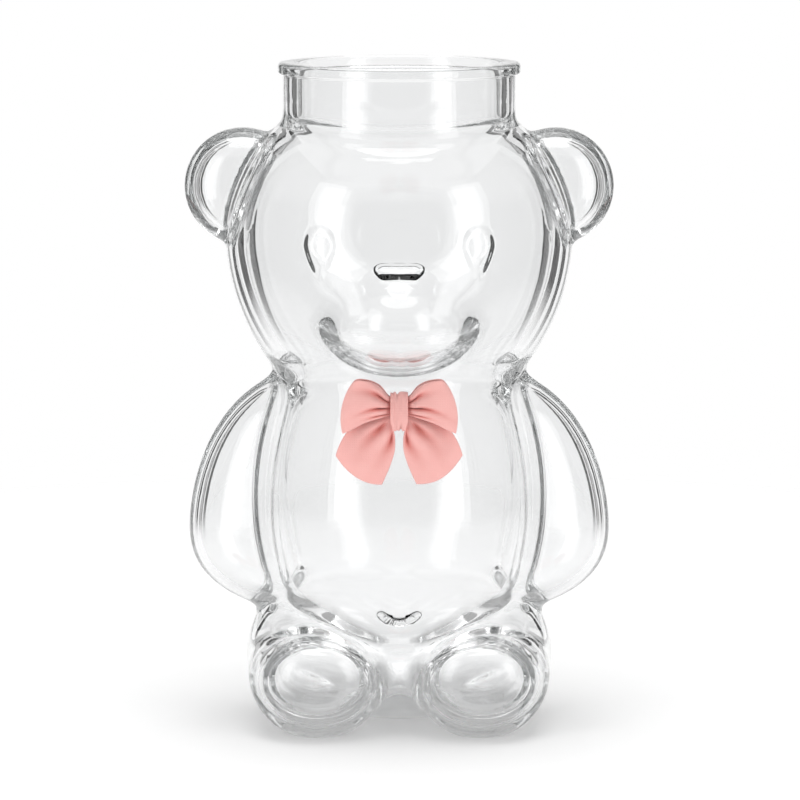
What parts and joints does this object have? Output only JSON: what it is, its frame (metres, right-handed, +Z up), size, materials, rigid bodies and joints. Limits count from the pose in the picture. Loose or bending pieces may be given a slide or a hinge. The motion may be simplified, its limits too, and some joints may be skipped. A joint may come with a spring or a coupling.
{
  "type": "drinking glass",
  "caption": "Bear-shaped clear drinking glass with a wide neck and lip, blown hollow through its ears, arms and feet, with a small ribbon bow glued on its chest.",
  "frame": {"origin": "on the table under the middle of the glass: centre of the box in X and Y, lowest point in Z", "axes": "+Z up, parallel to the neck's axis, the bear looks along -Y, +X to the right as seen from the front"},
  "size_m": [0.097, 0.0796, 0.15],
  "materials": {
    "clear_glass": "clear colourless blown glass, smooth and glossy",
    "pink_ribbon": "matt pink woven ribbon with soft gathers",
    "pink_thread": "twisted cotton thread",
    "clear_adhesive": "set milky adhesive"
  },
  "bodies": {
    "root": {"glass_vessel": "clear_glass", "bow_loops": "pink_ribbon", "bow_tails": "pink_ribbon", "bow_knot": "pink_ribbon", "bow_thread": "pink_thread", "bow_glue_pad": "clear_adhesive"}
  },
  "joints": []
}
